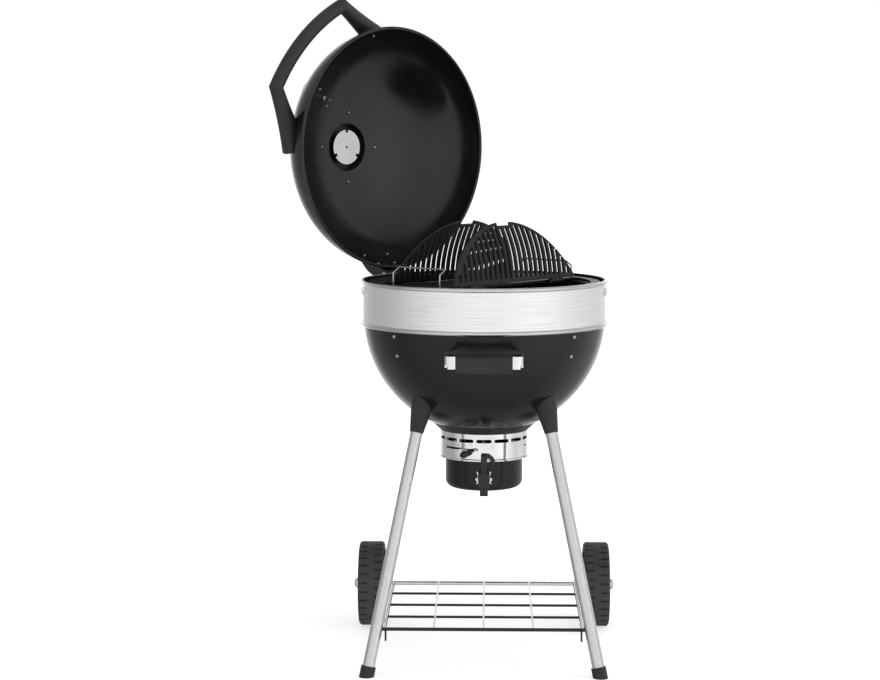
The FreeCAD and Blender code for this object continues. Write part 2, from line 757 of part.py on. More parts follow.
def vent_cap():
    gap = 0.4
    inner = VENT_TUBE_R + gap
    cup = turned([(0, VENT_TOP_Z), (inner, VENT_TOP_Z), (inner, 195), (inner + 3, 195),
                  (inner + 3, VENT_TOP_Z + 1), (inner - 3, VENT_TOP_Z + 7, "via"),
                  (inner - 16, VENT_TOP_Z + 8.5), (0, VENT_TOP_Z + 9)])
    cup = cup.cut(window_cutters(60, 80, 197.5, 209.5, 45.0))
    grip = box((-52, -6, VENT_TOP_Z + 4), (52, 6, VENT_TOP_Z + 26))
    hub = Part.makeCylinder(LINER_R - 10, VENT_TOP_Z - LINER_Z - 1.5, V(0, 0, LINER_Z + 1.5))
    return fused([cup, grip, hub])


def vent_liner():
    disc = Part.makeCylinder(LINER_R, 1.5, V(0, 0, LINER_Z))
    notch = box((LINER_R - 7, -4, LINER_Z - 5), (LINER_R + 5, 4, LINER_Z + 5))
    disc = disc.cut([around(notch, -45 + 120 * k) for k in range(3)])
    return disc.cut(Part.makeCylinder(3.0, 10, V(0, 0, LINER_Z - 5)))


def thermometer():
    point, normal = thermo_place()
    face_r = THERMO_CASE_R - 5.0
    floor = THERMO_CASE_H - 14.0
    low = turned([(8, -14), (THERMO_BASE_R, -14), (THERMO_BASE_R, -1), (THERMO_BASE_R - 6, 14, "via"),
                  (THERMO_CASE_R + 2, 24), (THERMO_CASE_R, THERMO_CASE_H), (face_r, THERMO_CASE_H),
                  (face_r, floor), (8, floor)])
    drills = [hole(p, n, 24) for p, n in thermo_screw_places()]
    case = largest(placed(low, point, normal).cut([dome_body(0.0)] + drills))
    dial = turned([(2.05, floor), (face_r, floor), (face_r, floor + 1.2), (2.05, floor + 1.2)])
    glass = turned([(0, floor + 8), (face_r, floor + 8), (face_r, floor + 10), (0, floor + 10)])
    stem = turned([(0, -24), (2.5, -24), (3, -22), (3, -8), (6, -8), (6, -3.2), (3.95, -3.2),
                   (3.95, floor - 0.2), (0, floor - 0.2)])
    needle = fused([turned([(0, floor + 2), (4, floor + 2), (4, floor + 4.5), (0, floor + 4.5)]),
                    slab([(-1.6, -8), (1.6, -8), (0.5, 28), (-0.5, 28)], 1.0, floor + 2.6),
                    Part.makeCylinder(2.0, 2.0, V(0, 0, floor + 0.2))])
    needle.rotate(V(0, 0, 0), UP, 135)
    parts = {"thermometer_dial": dial, "thermometer_glass": glass, "thermometer_stem": stem,
             "thermometer_needle": needle}
    nodes = {name: [placed(shape, point, normal)] for name, shape in parts.items()}
    nodes["thermometer_case"] = [case]
    return nodes


# ---------------------------------------------------------------- cooking grid

def wave_slot(x, y_low, y_high, swing, base_y):
    """One wavy slot across the bars, as a solid cutter."""
    steps = 6
    left = []
    right = []
    for k in range(steps + 1):
        y = y_low + (y_high - y_low) * k / steps
        shift = swing * math.sin(math.pi * (y - base_y[0]) / (base_y[1] - base_y[0]))
        left.append(V(x + shift - SLOT_WIDTH / 2, y, -30))
        right.append(V(x + shift + SLOT_WIDTH / 2, y, -30))
    sides = []
    for points in (left, right):
        curve = Part.BSplineCurve()
        curve.interpolate(points)
        sides.append(curve.toShape())
    ends = [Part.LineSegment(left[0], right[0]).toShape(), Part.LineSegment(left[-1], right[-1]).toShape()]
    wire = Part.Wire([ends[0], sides[1], ends[1], sides[0]])
    return Part.Face(wire).extrude(V(0, 0, 40))


def slot_columns(limit):
    count = int(limit / SLOT_PITCH)
    return [SLOT_PITCH * k for k in range(-count, count + 1)]


def flap_pin_spots():
    return [(x, side) for side in (-1, 1) for x in (-FLAP_KNUCKLE_X, FLAP_KNUCKLE_X)]


AXIS_Z = GRID_TOP_Z - GRID_PLATE / 2


def x_cylinder(radius, x_low, x_high, y):
    return Part.makeCylinder(radius, x_high - x_low, V(x_low, y, AXIS_Z), V(1, 0, 0))


def cooking_grid():
    low = GRID_TOP_Z - GRID_PLATE
    ring = tube(GRID_RING_R, GRID_RING_IN, GRID_TOP_Z - GRID_RING_DEEP, GRID_TOP_Z)
    lip = tube(GRID_RING_IN + 1, GRID_RING_IN - 9, GRID_TOP_Z - GRID_RING_DEEP, low - 0.5)
    edge = FLAP_AXIS_Y - 9.5
    strip = box((-GRID_RING_R, -edge, low), (GRID_RING_R, edge, GRID_TOP_Z))
    strip = strip.common(Part.makeCylinder(GRID_RING_IN + 2, 60, V(0, 0, -30)))
    lugs = []
    for x, side in flap_pin_spots():
        for start in (x - 22.0, x + 8.5):
            eye = x_cylinder(6.0, start, start + 13.5, side * FLAP_AXIS_Y)
            arm = box((start, -3.5, low), (start + 13.5, 10.5, GRID_TOP_Z - 0.5))
            arm.translate(V(0, FLAP_AXIS_Y - 10.5, 0))
            lugs.append(fused([eye, arm if side > 0 else arm.mirror(V(0, 0, 0), V(0, 1, 0))]))
    grid = fused([ring, lip, strip] + lugs)
    reach = edge - 9.0
    cuts = [wave_slot(x, -reach, reach, STRIP_WAVE, (-reach, 0.0)) for x in slot_columns(200)]
    cuts += [x_cylinder(FLAP_PIN_R, x - 22.0, x + 22.0, side * FLAP_AXIS_Y) for x, side in flap_pin_spots()]
    return around(grid.cut(cuts), GRID_ANGLE)


def flap(side):
    """Flap drawn flat, then raised about its pins. side is -1 for the right flap, 1 for the left."""
    low = GRID_TOP_Z - GRID_PLATE
    start = FLAP_AXIS_Y + 6.5
    plate = Part.makeCylinder(FLAP_R, GRID_PLATE, V(0, 0, low))
    plate = plate.common(box((-FLAP_R, -FLAP_R, low - 1), (FLAP_R, -start, GRID_TOP_Z + 1)))
    notch = box((-24, -FLAP_R - 5, low - 1), (24, -FLAP_R + 9, GRID_TOP_Z + 1))
    knuckles = []
    for x in (-FLAP_KNUCKLE_X, FLAP_KNUCKLE_X):
        knuckles.append(x_cylinder(6.0, x - 8.0, x + 8.0, -FLAP_AXIS_Y))
        knuckles.append(box((x - 8, -start - 2, low), (x + 8, -FLAP_AXIS_Y, GRID_TOP_Z)))
    body = fused([plate.cut(notch)] + knuckles)
    inner_y = -start - 9.0
    cuts = []
    for x in slot_columns(206):
        depth = math.sqrt((FLAP_R - 6.0) ** 2 - (abs(x) + SLOT_WIDTH / 2) ** 2)
        if abs(x) < 30:
            depth -= 9.0
        if depth > -inner_y + 8:
            cuts.append(wave_slot(x, -depth, inner_y, FLAP_WAVE / 2, (inner_y, -FLAP_R)))
    cuts += [x_cylinder(FLAP_PIN_R + RUNNING, x - 22, x + 22, -FLAP_AXIS_Y)
             for x in (-FLAP_KNUCKLE_X, FLAP_KNUCKLE_X)]
    body = body.cut(cuts)
    body.rotate(V(0, -FLAP_AXIS_Y, AXIS_Z), V(1, 0, 0), -FLAP_RAISED)
    if side > 0:
        body.rotate(V(0, 0, 0), UP, 180)
    return around(largest(body), GRID_ANGLE)


def flap_pins():
    pins = []
    for x, side in flap_pin_spots():
        pins.append(around(x_cylinder(FLAP_PIN_R, x - 22.0, x + 22.0, side * FLAP_AXIS_Y), GRID_ANGLE))
    return pins


def lift_handles():
    top = GRID_TOP_Z
    half = LIFT_HANDLE_HALF
    x = -LIFT_HANDLE_X
    points = [V(x, -half, top), V(x, -half, 28), V(x + 20, -half, 40), V(x + 20, half, 40),
              V(x, half, 28), V(x, half, top)]
    points = [point + V(0, LIFT_HANDLE_SHIFT, 0) for point in points]
    wire = around(rod(points, LIFT_WIRE_R), GRID_ANGLE)
    return [wire, around(wire, 180)]


def charcoal_grate():
    """Round hoop, with parallel bars resting across it."""
    ring_r = 4.0
    bar_r = 3.0
    hoop = Part.makeTorus(GRATE_R, ring_r, V(0, 0, GRATE_Z))
    bars = []
    top = GRATE_Z + ring_r + bar_r
    count = int(GRATE_R / GRATE_ROD_PITCH)
    for k in range(-count, count + 1):
        x = k * GRATE_ROD_PITCH
        half = math.sqrt(GRATE_R ** 2 - x * x)
        bars.append(Part.makeCylinder(bar_r, 2 * half, V(x, -half, top + 0.05), V(0, 1, 0)))
    return {"charcoal_grate_hoop": [hoop], "charcoal_grate_bars": bars}


# ---------------------------------------------------------------- ash housing and air control

def ash_ring():
    inner = HOUSING_R - HOUSING_WALL
    body = turned([(inner, HOUSING_TOP_Z), (HOUSING_R, HOUSING_TOP_Z), (HOUSING_R, HOUSING_LIP_Z + 3),
                   (HOUSING_R + 3.5, HOUSING_LIP_Z + 1.5), (HOUSING_R + 3.5, HOUSING_LIP_Z - 1.5),
                   (inner, HOUSING_LIP_Z - 1.5)])
    slot = slot_cutter(HOUSING_R, AIR_SLOT_Z, 36.0, 8.0)
    cuts = [around(slot, -90 + 360.0 / AIR_SLOTS * k) for k in range(AIR_SLOTS)]
    sweep = LEVER_TRAVEL + 8.0
    lever_slot = turned([(90, LEVER_Z - 2.5), (110, LEVER_Z - 2.5), (110, LEVER_Z + 2.5),
                         (90, LEVER_Z + 2.5)], sweep)
    cuts.append(around(lever_slot, LEVER_AZIMUTH + 4.0 - sweep))
    cuts.append(around(slot_cutter(HOUSING_R, LEVER_Z + 2, 14.0, 4.0), -20))
    return body.cut(cuts)


def slot_cutter(r, z, length, height):
    """Round-ended slot through a wall at radius r, at azimuth 0."""
    reach = length / 2 - height / 2
    ends = [Part.makeCylinder(height / 2, 24, V(r - 12, y, z), V(1, 0, 0)) for y in (-reach, reach)]
    return fused(ends + [box((r - 12, -reach, z - height / 2), (r + 12, reach, z + height / 2))])


def ash_ring_collar():
    """Dark flared neck that carries the bowl's curve down to the bright ring."""
    inner = HOUSING_R - HOUSING_WALL
    neck = turned([(inner - 3, HOUSING_TOP_Z - 8), (inner, HOUSING_TOP_Z - 8), (inner, HOUSING_TOP_Z),
                   (HOUSING_R + 1, HOUSING_TOP_Z), (HOUSING_R + 26, HOUSING_TOP_Z + 24),
                   (inner - 3, HOUSING_TOP_Z + 24)])
    return min(neck.cut(bowl_body(0.0, 0.0)).Solids, key=lambda solid: solid.BoundBox.ZMin)


def sweep_blades():
    shell = bowl_body(-BOWL_WALL - 0.6, 0.0).cut(bowl_body(-BOWL_WALL - 2.8, 1.0))
    low = BOWL_BASE_Z - BOWL_DEPTH
    hub = Part.makeCylinder(24, 30, V(0, 0, low))
    blade = slab([(0, -13), (96, -19), (98, -10), (98, 15), (0, 13)], 80.0, low)
    blades = fused([hub] + [around(blade, 90 * k) for k in range(ASH_SLOTS)])
    plate = shell.common(blades)
    return plate.cut(Part.makeCylinder(SHAFT_R, 200, V(0, 0, low - 50)))


def control_shaft():
    low = BOWL_BASE_Z - BOWL_DEPTH
    shaft = Part.makeCylinder(SHAFT_R, 44, V(0, 0, LEVER_Z - 6))
    head = Part.makeCylinder(9, 4, V(0, 0, low + BOWL_WALL + 4.2))
    lock = Part.makeCylinder(8.5, 3, V(0, 0, LEVER_Z - 4))
    bar = box((0, -5, LEVER_Z - 1.25), (HOUSING_R + 9, 5, LEVER_Z + 1.25))
    return around(fused([shaft, head, lock, bar]), LEVER_AZIMUTH)


def lever_knob():
    """Oval knob that hangs off the arm's end, slanting down and to one side."""
    r = HOUSING_R + 9
    stalk = rod([V(r, 0, LEVER_Z), V(r + 5, -12, LEVER_Z - 5)], 3.4)
    ball = Part.makeSphere(1.0)
    matrix = FreeCAD.Matrix()
    matrix.scale(7.5, 12.0, 8.0)
    ball = ball.transformGeometry(matrix)
    ball.rotate(V(0, 0, 0), V(1, 0, 0), 22)
    ball.translate(V(r + 6, -21, LEVER_Z - 9.5))
    knob = fused([stalk, ball])
    knob = knob.cut(box((r - 20, -5.0, LEVER_Z - 1.25), (r, 5.0, LEVER_Z + 1.25)))
    return around(largest(knob), LEVER_AZIMUTH)


# ---------------------------------------------------------------- ash bucket and latch

def ash_bucket():
    wall = 1.5
    corner = 18.0
    low = BUCKET_BOTTOM_Z
    diag = corner * (1 - math.sqrt(0.5))
    inner_diag = (corner - wall) * (1 - math.sqrt(0.5))
    return turned([(0, low), (BUCKET_R - corner, low), (BUCKET_R - diag, low + diag, "via"),
                   (BUCKET_R, low + corner), (BUCKET_R, BUCKET_TOP_Z - 1.6),
                   (BUCKET_R + 8, BUCKET_TOP_Z - 1.6), (BUCKET_R + 8, BUCKET_TOP_Z),
                   (BUCKET_R - wall, BUCKET_TOP_Z),
                   (BUCKET_R - wall, low + corner),
                   (BUCKET_R - wall - inner_diag, low + wall + inner_diag, "via"),
                   (BUCKET_R - corner, low + wall), (0, low + wall)])


CHEEK_X = 15.5
CHEEK_WALL = 2.5


def latch_bracket():
    cheek = [(-92, LATCH_Z + 14), (-105, LATCH_Z + 9), (LATCH_Y - 5, LATCH_Z + 4),
             (LATCH_Y - 5, LATCH_Z - 4), (-105, LATCH_Z - 9), (-92, LATCH_Z - 14)]
    side = side_plate(cheek, CHEEK_WALL / 2)
    side.rotate(V(0, 0, 0), UP, 90)
    side = side.mirror(V(0, 0, 0), V(0, 1, 0)) if side.BoundBox.YMin > 0 else side
    cheeks = []
    for sx in (-1, 1):
        plate = side.copy()
        plate.translate(V(sx * (CHEEK_X + CHEEK_WALL / 2), 0, 0))
        cheeks.append(plate)
    back = box((-CHEEK_X - CHEEK_WALL, -94.5, LATCH_Z - 14), (CHEEK_X + CHEEK_WALL, -92, LATCH_Z + 14))
    bracket = fused(cheeks + [back])
    bracket = bracket.cut(Part.makeCylinder(BUCKET_R + 0.05, 200, V(0, 0, -600)))
    return bracket.cut(latch_pin())


def latch_pin():
    half = CHEEK_X + CHEEK_WALL + 1.5
    return Part.makeCylinder(LATCH_PIN_R, 2 * half, V(-half, LATCH_Y, LATCH_Z), V(1, 0, 0))


def latch_lever():
    """Hook over the housing lip, stalk, and grip with a rounded lower end."""
    front = LATCH_Y - 7.0
    back = LATCH_Y + 6.0
    grip = side_plate([(back, LATCH_Z + 15), (front + 2, LATCH_Z + 15), (front - 1, LATCH_Z, "via"),
                       (front + 1, LATCH_Z - 20), (back, LATCH_Z - 20)], 13.5)
    tail = side_plate([(back, LATCH_Z - 18), (front + 1, LATCH_Z - 18), (front - 1, LATCH_Z - 30, "via"),
                       (LATCH_Y, LATCH_Z - 40), (back - 1, LATCH_Z - 36, "via"), (back, LATCH_Z - 30)], 9.5)
    stalk = side_plate([(LATCH_Y + 4, LATCH_Z + 12), (LATCH_Y - 4, LATCH_Z + 12), (LATCH_Y - 4, LATCH_Z + 46),
                        (LATCH_Y + 4, LATCH_Z + 46)], 7.0)
    beak_low = HOUSING_LIP_Z + 4.5
    beak = side_plate([(LATCH_Y - 4, beak_low), (-HOUSING_R - 1.7, beak_low),
                       (-HOUSING_R - 1.7, beak_low + 5), (LATCH_Y, beak_low + 12),
                       (LATCH_Y - 4, beak_low + 10)], 7.0)
    parts = []
    for shape in (grip, tail, stalk, beak):
        shape.rotate(V(0, 0, 0), UP, 90)
        if shape.BoundBox.YMin > 0:
            shape = shape.mirror(V(0, 0, 0), V(0, 1, 0))
        parts.append(shape)
    loop = tube(16.0, 8.0, -4.0, 4.0)
    loop = loop.common(fused([box((-20, 0, -5), (20, 20, 5)), box((5, -7, -5), (20, 1, 5))]))
    loop.rotate(V(0, 0, 0), V(1, 0, 0), 90)
    loop.translate(V(10, LATCH_Y - 1, beak_low - 5))
    parts.append(loop)
    bore = Part.makeCylinder(LATCH_PIN_R + RUNNING, 80, V(-40, LATCH_Y, LATCH_Z), V(1, 0, 0))
    return fused(parts).cut(bore)


# ---------------------------------------------------------------- assembly

def hinge_axis():
    """Point on the lid's hinge axis, and the direction that throws the shut lid open."""
    return polar(HINGE_R, HINGE_AZIMUTH, HINGE_Z), polar(1.0, HINGE_AZIMUTH + 90.0, 0.0)


def bowl_screws():
    screws = [screw(p, n, BOWL_WALL + 4.9) for p, n in tab_screw_places()]
    screws += [screw(p, n, 8.9) for p, n in hinge_screw_places()]
    screws += [blind_screw(p, n, 16.0) for p, n in socket_bolt_places()]
    return screws + [blind_screw(p, n, 14.0) for p, n in handle_screw_places()]


def lid_screws():
    screws = [blind_screw(p, n, 7.0) for p, n in vent_screw_places()]
    screws += [blind_screw(p, n, 7.0) for p, n in leaf_screw_places()]
    screws += [blind_screw(p, n, 10.0) for p, n in thermo_screw_places()]
    return screws + [blind_screw(p, n, 20.0) for p, n in handle_base_places()]


def shut_lid_nodes():
    arm = lid_arm()
    nodes = {
        "lid": [lid_shell()],
        "lid_handle_grip": [lid_grip()],
        "lid_handle_arms": [arm, mirrored(arm)],
        "lid_hinge_leaf": [hinge_leaf()],
        "lid_screws": lid_screws(),
        "vent_base": [vent_base()],
        "vent_cap": [vent_cap()],
        "vent_liner": [vent_liner()],
    }
    nodes.update(thermometer())
    return nodes


def open_lid_nodes():
    point, axis = hinge_axis()
    nodes = shut_lid_nodes()
    for shapes in nodes.values():
        for shape in shapes:
            shape.rotate(point, axis, LID_OPEN)
    return nodes


def all_nodes():
    nodes = {
        "bowl": [bowl()],
        "bowl_band": [bowl_band()],
        "rim_ring_upper": [bead_ring(0.0)],
        "rim_ring_lower": [bead_ring(LOWER_RING_Z)],
        "band_clips": band_clips(),
        "grate_support_tabs": support_tabs(),
        "bowl_screws": bowl_screws(),
        "leg_end_caps": foot_caps() + rear_leg_plugs(),
        "axle": [axle_rod(AXLE_R)] + axle_caps(),
        "hinge_base": [hinge_base()],
        "hinge_pin": [hinge_pin()],
        "ash_ring": [ash_ring()],
        "ash_ring_collar": [ash_ring_collar()],
        "sweep_blades": [sweep_blades()],
        "control_shaft": [control_shaft()],
        "lever_knob": [lever_knob()],
        "ash_bucket": [ash_bucket()],
        "latch_bracket": [latch_bracket()],
        "latch_pin": [latch_pin()],
        "latch_lever": [latch_lever()],
        "cooking_grid": [cooking_grid()],
        "grid_flap_right": [flap(-1)],
        "grid_flap_left": [flap(1)],
        "flap_pins": flap_pins(),
        "grid_lift_handles": lift_handles(),
    }
    for (name, (sx, sy)), socket in zip(LEG_CORNERS.items(), leg_sockets()):
        nodes["leg_socket_" + name] = [socket]
        nodes["leg_" + name] = [leg(sx, sy, FRONT_TUBE_END_Z if sy < 0 else REAR_TUBE_END_Z)]
    nodes.update(charcoal_grate())
    nodes.update(wheels())
    nodes.update(shelf())
    nodes.update(bowl_handle())
    nodes.update(open_lid_nodes())
    return nodes


def main():
    os.makedirs("parts", exist_ok=True)
    shift = V(AXIS_X, AXIS_Y, RIM_HEIGHT)
    for name, shapes in all_nodes().items():
        solids = [solid for shape in shapes for solid in shape.Solids]
        result = solids[0] if len(solids) == 1 else Part.makeCompound(solids)
        result.translate(shift)
        result.exportStep("parts/" + name + ".step")


if __name__ == "__main__":
    main()
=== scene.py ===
import json
import math

import bpy
from mathutils import Matrix, Vector


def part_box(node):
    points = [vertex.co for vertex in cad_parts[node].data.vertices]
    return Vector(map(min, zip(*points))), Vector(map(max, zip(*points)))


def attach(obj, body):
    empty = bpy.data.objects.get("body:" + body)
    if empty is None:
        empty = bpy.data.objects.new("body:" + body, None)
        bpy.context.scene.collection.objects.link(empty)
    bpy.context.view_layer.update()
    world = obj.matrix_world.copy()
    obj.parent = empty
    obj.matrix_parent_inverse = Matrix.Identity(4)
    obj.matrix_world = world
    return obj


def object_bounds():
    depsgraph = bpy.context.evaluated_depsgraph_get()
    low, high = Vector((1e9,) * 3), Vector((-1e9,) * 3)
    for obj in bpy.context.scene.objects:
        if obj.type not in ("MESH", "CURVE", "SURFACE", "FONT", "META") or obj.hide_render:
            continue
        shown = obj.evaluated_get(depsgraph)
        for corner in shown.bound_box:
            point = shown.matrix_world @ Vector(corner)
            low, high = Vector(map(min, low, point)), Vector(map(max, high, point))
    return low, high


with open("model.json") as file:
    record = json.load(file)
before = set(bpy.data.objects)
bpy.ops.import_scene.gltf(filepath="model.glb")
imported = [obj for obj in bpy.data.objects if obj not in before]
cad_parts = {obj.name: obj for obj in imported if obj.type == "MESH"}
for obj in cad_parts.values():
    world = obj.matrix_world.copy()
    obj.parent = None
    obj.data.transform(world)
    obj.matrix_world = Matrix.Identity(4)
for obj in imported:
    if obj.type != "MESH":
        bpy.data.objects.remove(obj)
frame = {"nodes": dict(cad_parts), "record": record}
CAD_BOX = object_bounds()

# The kettle's own axis and rim, taken from the frame: every place below is counted from them.
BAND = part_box("bowl_band")
AXIS = Vector(((BAND[0].x + BAND[1].x) / 2, (BAND[0].y + BAND[1].y) / 2, 0.0))
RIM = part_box("rim_ring_upper")
RIM_Z = (RIM[0].z + RIM[1].z) / 2
JOINTS = {joint["name"]: joint for joint in frame["record"]["behaviour"]["joints"]}


# ---------------------------------------------------------------- materials

class Paint:
    """A material with its Principled shader, and short calls for the nodes that feed it."""

    def __init__(self, name, colour, metallic=0.0, **constants):
        self.material = bpy.data.materials.new(name)
        self.material.use_nodes = True
        self.tree = self.material.node_tree
        self.shader = self.tree.nodes["Principled BSDF"]
        self.shader.inputs["Base Color"].default_value = (*colour, 1.0)
        self.shader.inputs["Metallic"].default_value = metallic
        for key, value in constants.items():
            self.shader.inputs[key.replace("_", " ")].default_value = value
        self.material.diffuse_color = (*colour, 1.0)

    def node(self, kind, **settings):
        made = self.tree.nodes.new("ShaderNode" + kind)
        for key, value in settings.items():
            setattr(made, key, value)
        return made

    def feed(self, socket, value):
        if isinstance(value, (int, float, tuple, Vector)):
            socket.default_value = value
        else:
            self.tree.links.new(value, socket)

    def place(self, scale=(1.0, 1.0, 1.0)):
        """Object coordinates, which are the row frame's metres, stretched."""
        mapping = self.node("Mapping")
        self.feed(mapping.inputs["Vector"], self.node("TexCoord").outputs["Object"])
        self.feed(mapping.inputs["Scale"], tuple(scale))
        return mapping.outputs["Vector"]

    def around(self, per_turn, per_height):
        """Coordinates that run round the kettle's axis: stretched along the turn and the height."""
        shifted = self.node("VectorMath", operation="SUBTRACT")
        self.feed(shifted.inputs[0], self.node("TexCoord").outputs["Object"])
        self.feed(shifted.inputs[1], tuple(AXIS))
        parts = self.node("SeparateXYZ")
        self.feed(parts.inputs[0], shifted.outputs[0])
        angle = self.math("ARCTAN2", parts.outputs["Y"], parts.outputs["X"])
        joined = self.node("CombineXYZ")
        self.feed(joined.inputs["X"], self.math("MULTIPLY", angle, per_turn))
        self.feed(joined.inputs["Y"], self.math("MULTIPLY", parts.outputs["Z"], per_height))
        return joined.outputs[0]

    def noise(self, vector, scale, detail=3.0, rough=0.5):
        made = self.node("TexNoise")
        self.feed(made.inputs["Vector"], vector)
        made.inputs["Scale"].default_value = scale
        made.inputs["Detail"].default_value = detail
        made.inputs["Roughness"].default_value = rough
        return made.outputs["Fac"]

    def cells(self, vector, scale):
        made = self.node("TexVoronoi")
        self.feed(made.inputs["Vector"], vector)
        made.inputs["Scale"].default_value = scale
        return made.outputs["Distance"]

    def math(self, operation, a, b=0.0):
        made = self.node("Math", operation=operation)
        self.feed(made.inputs[0], a)
        self.feed(made.inputs[1], b)
        return made.outputs[0]

    def spread(self, value, low, high, start=0.3, stop=0.7):
        made = self.node("MapRange")
        self.feed(made.inputs["Value"], value)
        made.inputs["From Min"].default_value = start
        made.inputs["From Max"].default_value = stop
        made.inputs["To Min"].default_value = low
        made.inputs["To Max"].default_value = high
        return made.outputs["Result"]

    def tint(self, value, dark, light, start=0.3, stop=0.7):
        ramp = self.node("ValToRGB")
        ramp.color_ramp.elements[0].position = start
        ramp.color_ramp.elements[1].position = stop
        ramp.color_ramp.elements[0].color = (*dark, 1.0)
        ramp.color_ramp.elements[1].color = (*light, 1.0)
        self.feed(ramp.inputs["Fac"], value)
        self.feed(self.shader.inputs["Base Color"], ramp.outputs["Color"])

    def rough(self, value, low, high, start=0.3, stop=0.7):
        self.feed(self.shader.inputs["Roughness"], self.spread(value, low, high, start, stop))

    def bump(self, layers, round_edge=0.0):
        """Bump from (height, depth in metres) layers, over edges shaded as if rounded."""
        normal = None
        if round_edge:
            bevel = self.node("Bevel", samples=4)
            bevel.inputs["Radius"].default_value = round_edge
            normal = bevel.outputs["Normal"]
        for height, depth in layers:
            made = self.node("Bump")
            made.inputs["Strength"].default_value = 1.0
            made.inputs["Distance"].default_value = depth
            self.feed(made.inputs["Height"], height)
            if normal is not None:
                self.feed(made.inputs["Normal"], normal)
            normal = made.outputs["Normal"]
        self.feed(self.shader.inputs["Normal"], normal)
        return self.material


def enamel(name, gloss):
    """Deep black vitreous enamel: almost a mirror, with a faint orange peel and the odd dull patch."""
    paint = Paint(name, (0.004, 0.004, 0.0045), Specular_IOR_Level=gloss)
    peel = paint.noise(paint.place(), 260.0, 2.0)
    patch = paint.noise(paint.place(), 9.0, 4.0)
    paint.tint(patch, (0.004, 0.004, 0.0043), (0.007, 0.007, 0.0075))
    paint.rough(patch, 0.16, 0.26)
    return paint.bump([(peel, 0.00002)], 0.0008)


def brushed_turn(name):
    """Stainless sheet brushed round the kettle."""
    paint = Paint(name, (0.80, 0.79, 0.78), 1.0, Anisotropic=0.75)
    fine = paint.noise(paint.around(5.0, 2600.0), 1.0, 3.0, 0.7)
    broad = paint.noise(paint.around(2.2, 420.0), 1.0, 2.0)
    both = paint.math("MULTIPLY", paint.math("ADD", fine, broad), 0.5)
    paint.tint(both, (0.72, 0.715, 0.71), (0.90, 0.89, 0.88), 0.38, 0.62)
    paint.rough(both, 0.42, 0.32, 0.38, 0.62)
    tangent = paint.node("Tangent", direction_type="RADIAL", axis="Z")
    paint.feed(paint.shader.inputs["Tangent"], tangent.outputs[0])
    return paint.bump([(fine, 0.000012), (broad, 0.00001)])


def polished(name, colour, low, high, round_edge=0.0005):
    """Bright plated metal with faint polishing marks and finger haze."""
    paint = Paint(name, colour, 1.0)
    haze = paint.noise(paint.place(), 26.0, 5.0, 0.6)
    marks = paint.noise(paint.place((60.0, 60.0, 900.0)), 1.0, 2.0)
    paint.tint(haze, tuple(0.86 * c for c in colour), colour)
    paint.rough(haze, low, high)
    return paint.bump([(marks, 0.000004)], round_edge)


def drawn_tube(name):
    """Anodised aluminium tube, with its die lines along its length."""
    paint = Paint(name, (0.80, 0.80, 0.81), 1.0, Anisotropic=0.3)
    lines = paint.noise(paint.place((900.0, 900.0, 6.0)), 1.0, 3.0, 0.6)
    haze = paint.noise(paint.place(), 18.0, 4.0)
    paint.tint(lines, (0.50, 0.50, 0.51), (0.66, 0.66, 0.67), 0.35, 0.65)
    paint.rough(haze, 0.24, 0.36)
    return paint.bump([(lines, 0.00001)])


def satin_paint(name, colour, rough_low=0.34, rough_high=0.5):
    """Powder coat: fine ripple and a soft sheen."""
    paint = Paint(name, colour, Specular_IOR_Level=0.3)
    ripple = paint.noise(paint.place(), 900.0, 3.0, 0.6)
    patch = paint.noise(paint.place(), 22.0, 4.0)
    paint.tint(patch, tuple(0.75 * c for c in colour), tuple(1.3 * c for c in colour))
    paint.rough(patch, rough_low, rough_high)
    return paint.bump([(ripple, 0.00005)], 0.0006)


def moulded(name, colour, rough_low=0.40, rough_high=0.55):
    """Moulded plastic with a spark-eroded grain."""
    paint = Paint(name, colour, Specular_IOR_Level=0.3)
    grain = paint.cells(paint.place(), 1500.0)
    patch = paint.noise(paint.place(), 30.0, 4.0)
    paint.tint(patch, tuple(0.8 * c for c in colour), tuple(1.25 * c for c in colour))
    paint.rough(patch, rough_low, rough_high)
    return paint.bump([(grain, 0.00004)], 0.0008)


def cast(name):
    """Enamelled cast iron: soft sand texture under a dull gloss."""
    paint = Paint(name, (0.012, 0.012, 0.012), Specular_IOR_Level=0.18)
    sand = paint.noise(paint.place(), 420.0, 5.0, 0.65)
    pits = paint.cells(paint.place(), 260.0)
    patch = paint.noise(paint.place(), 14.0, 5.0)
    paint.tint(patch, (0.006, 0.006, 0.006), (0.013, 0.0128, 0.0125))
    paint.rough(sand, 0.30, 0.50)
    return paint.bump([(sand, 0.00022), (pits, 0.00008)], 0.0012)


def rubber(name):
    paint = Paint(name, (0.018, 0.018, 0.018))
    grain = paint.noise(paint.place(), 1100.0, 3.0)
    dust = paint.noise(paint.place(), 16.0, 6.0, 0.65)
    paint.tint(dust, (0.012, 0.012, 0.012), (0.034, 0.033, 0.031), 0.35, 0.75)
    paint.rough(dust, 0.55, 0.75)
    return paint.bump([(grain, 0.00006)], 0.0012)


def dial_white(name):
    paint = Paint(name, (0.72, 0.72, 0.70))
    grain = paint.noise(paint.place(), 700.0, 2.0)
    patch = paint.noise(paint.place(), 40.0, 3.0)
    paint.tint(patch, (0.68, 0.68, 0.66), (0.76, 0.76, 0.74))
    paint.rough(patch, 0.35, 0.5)
    return paint.bump([(grain, 0.00001)])


def clear_glass(name):
    paint = Paint(name, (0.97, 0.98, 0.98), Transmission_Weight=1.0, IOR=1.45)
    smear = paint.noise(paint.place(), 60.0, 4.0)
    paint.tint(smear, (0.95, 0.97, 0.97), (1.0, 1.0, 1.0))
    paint.rough(smear, 0.0, 0.06, 0.5, 0.8)
    return paint.bump([(smear, 0.000004)])


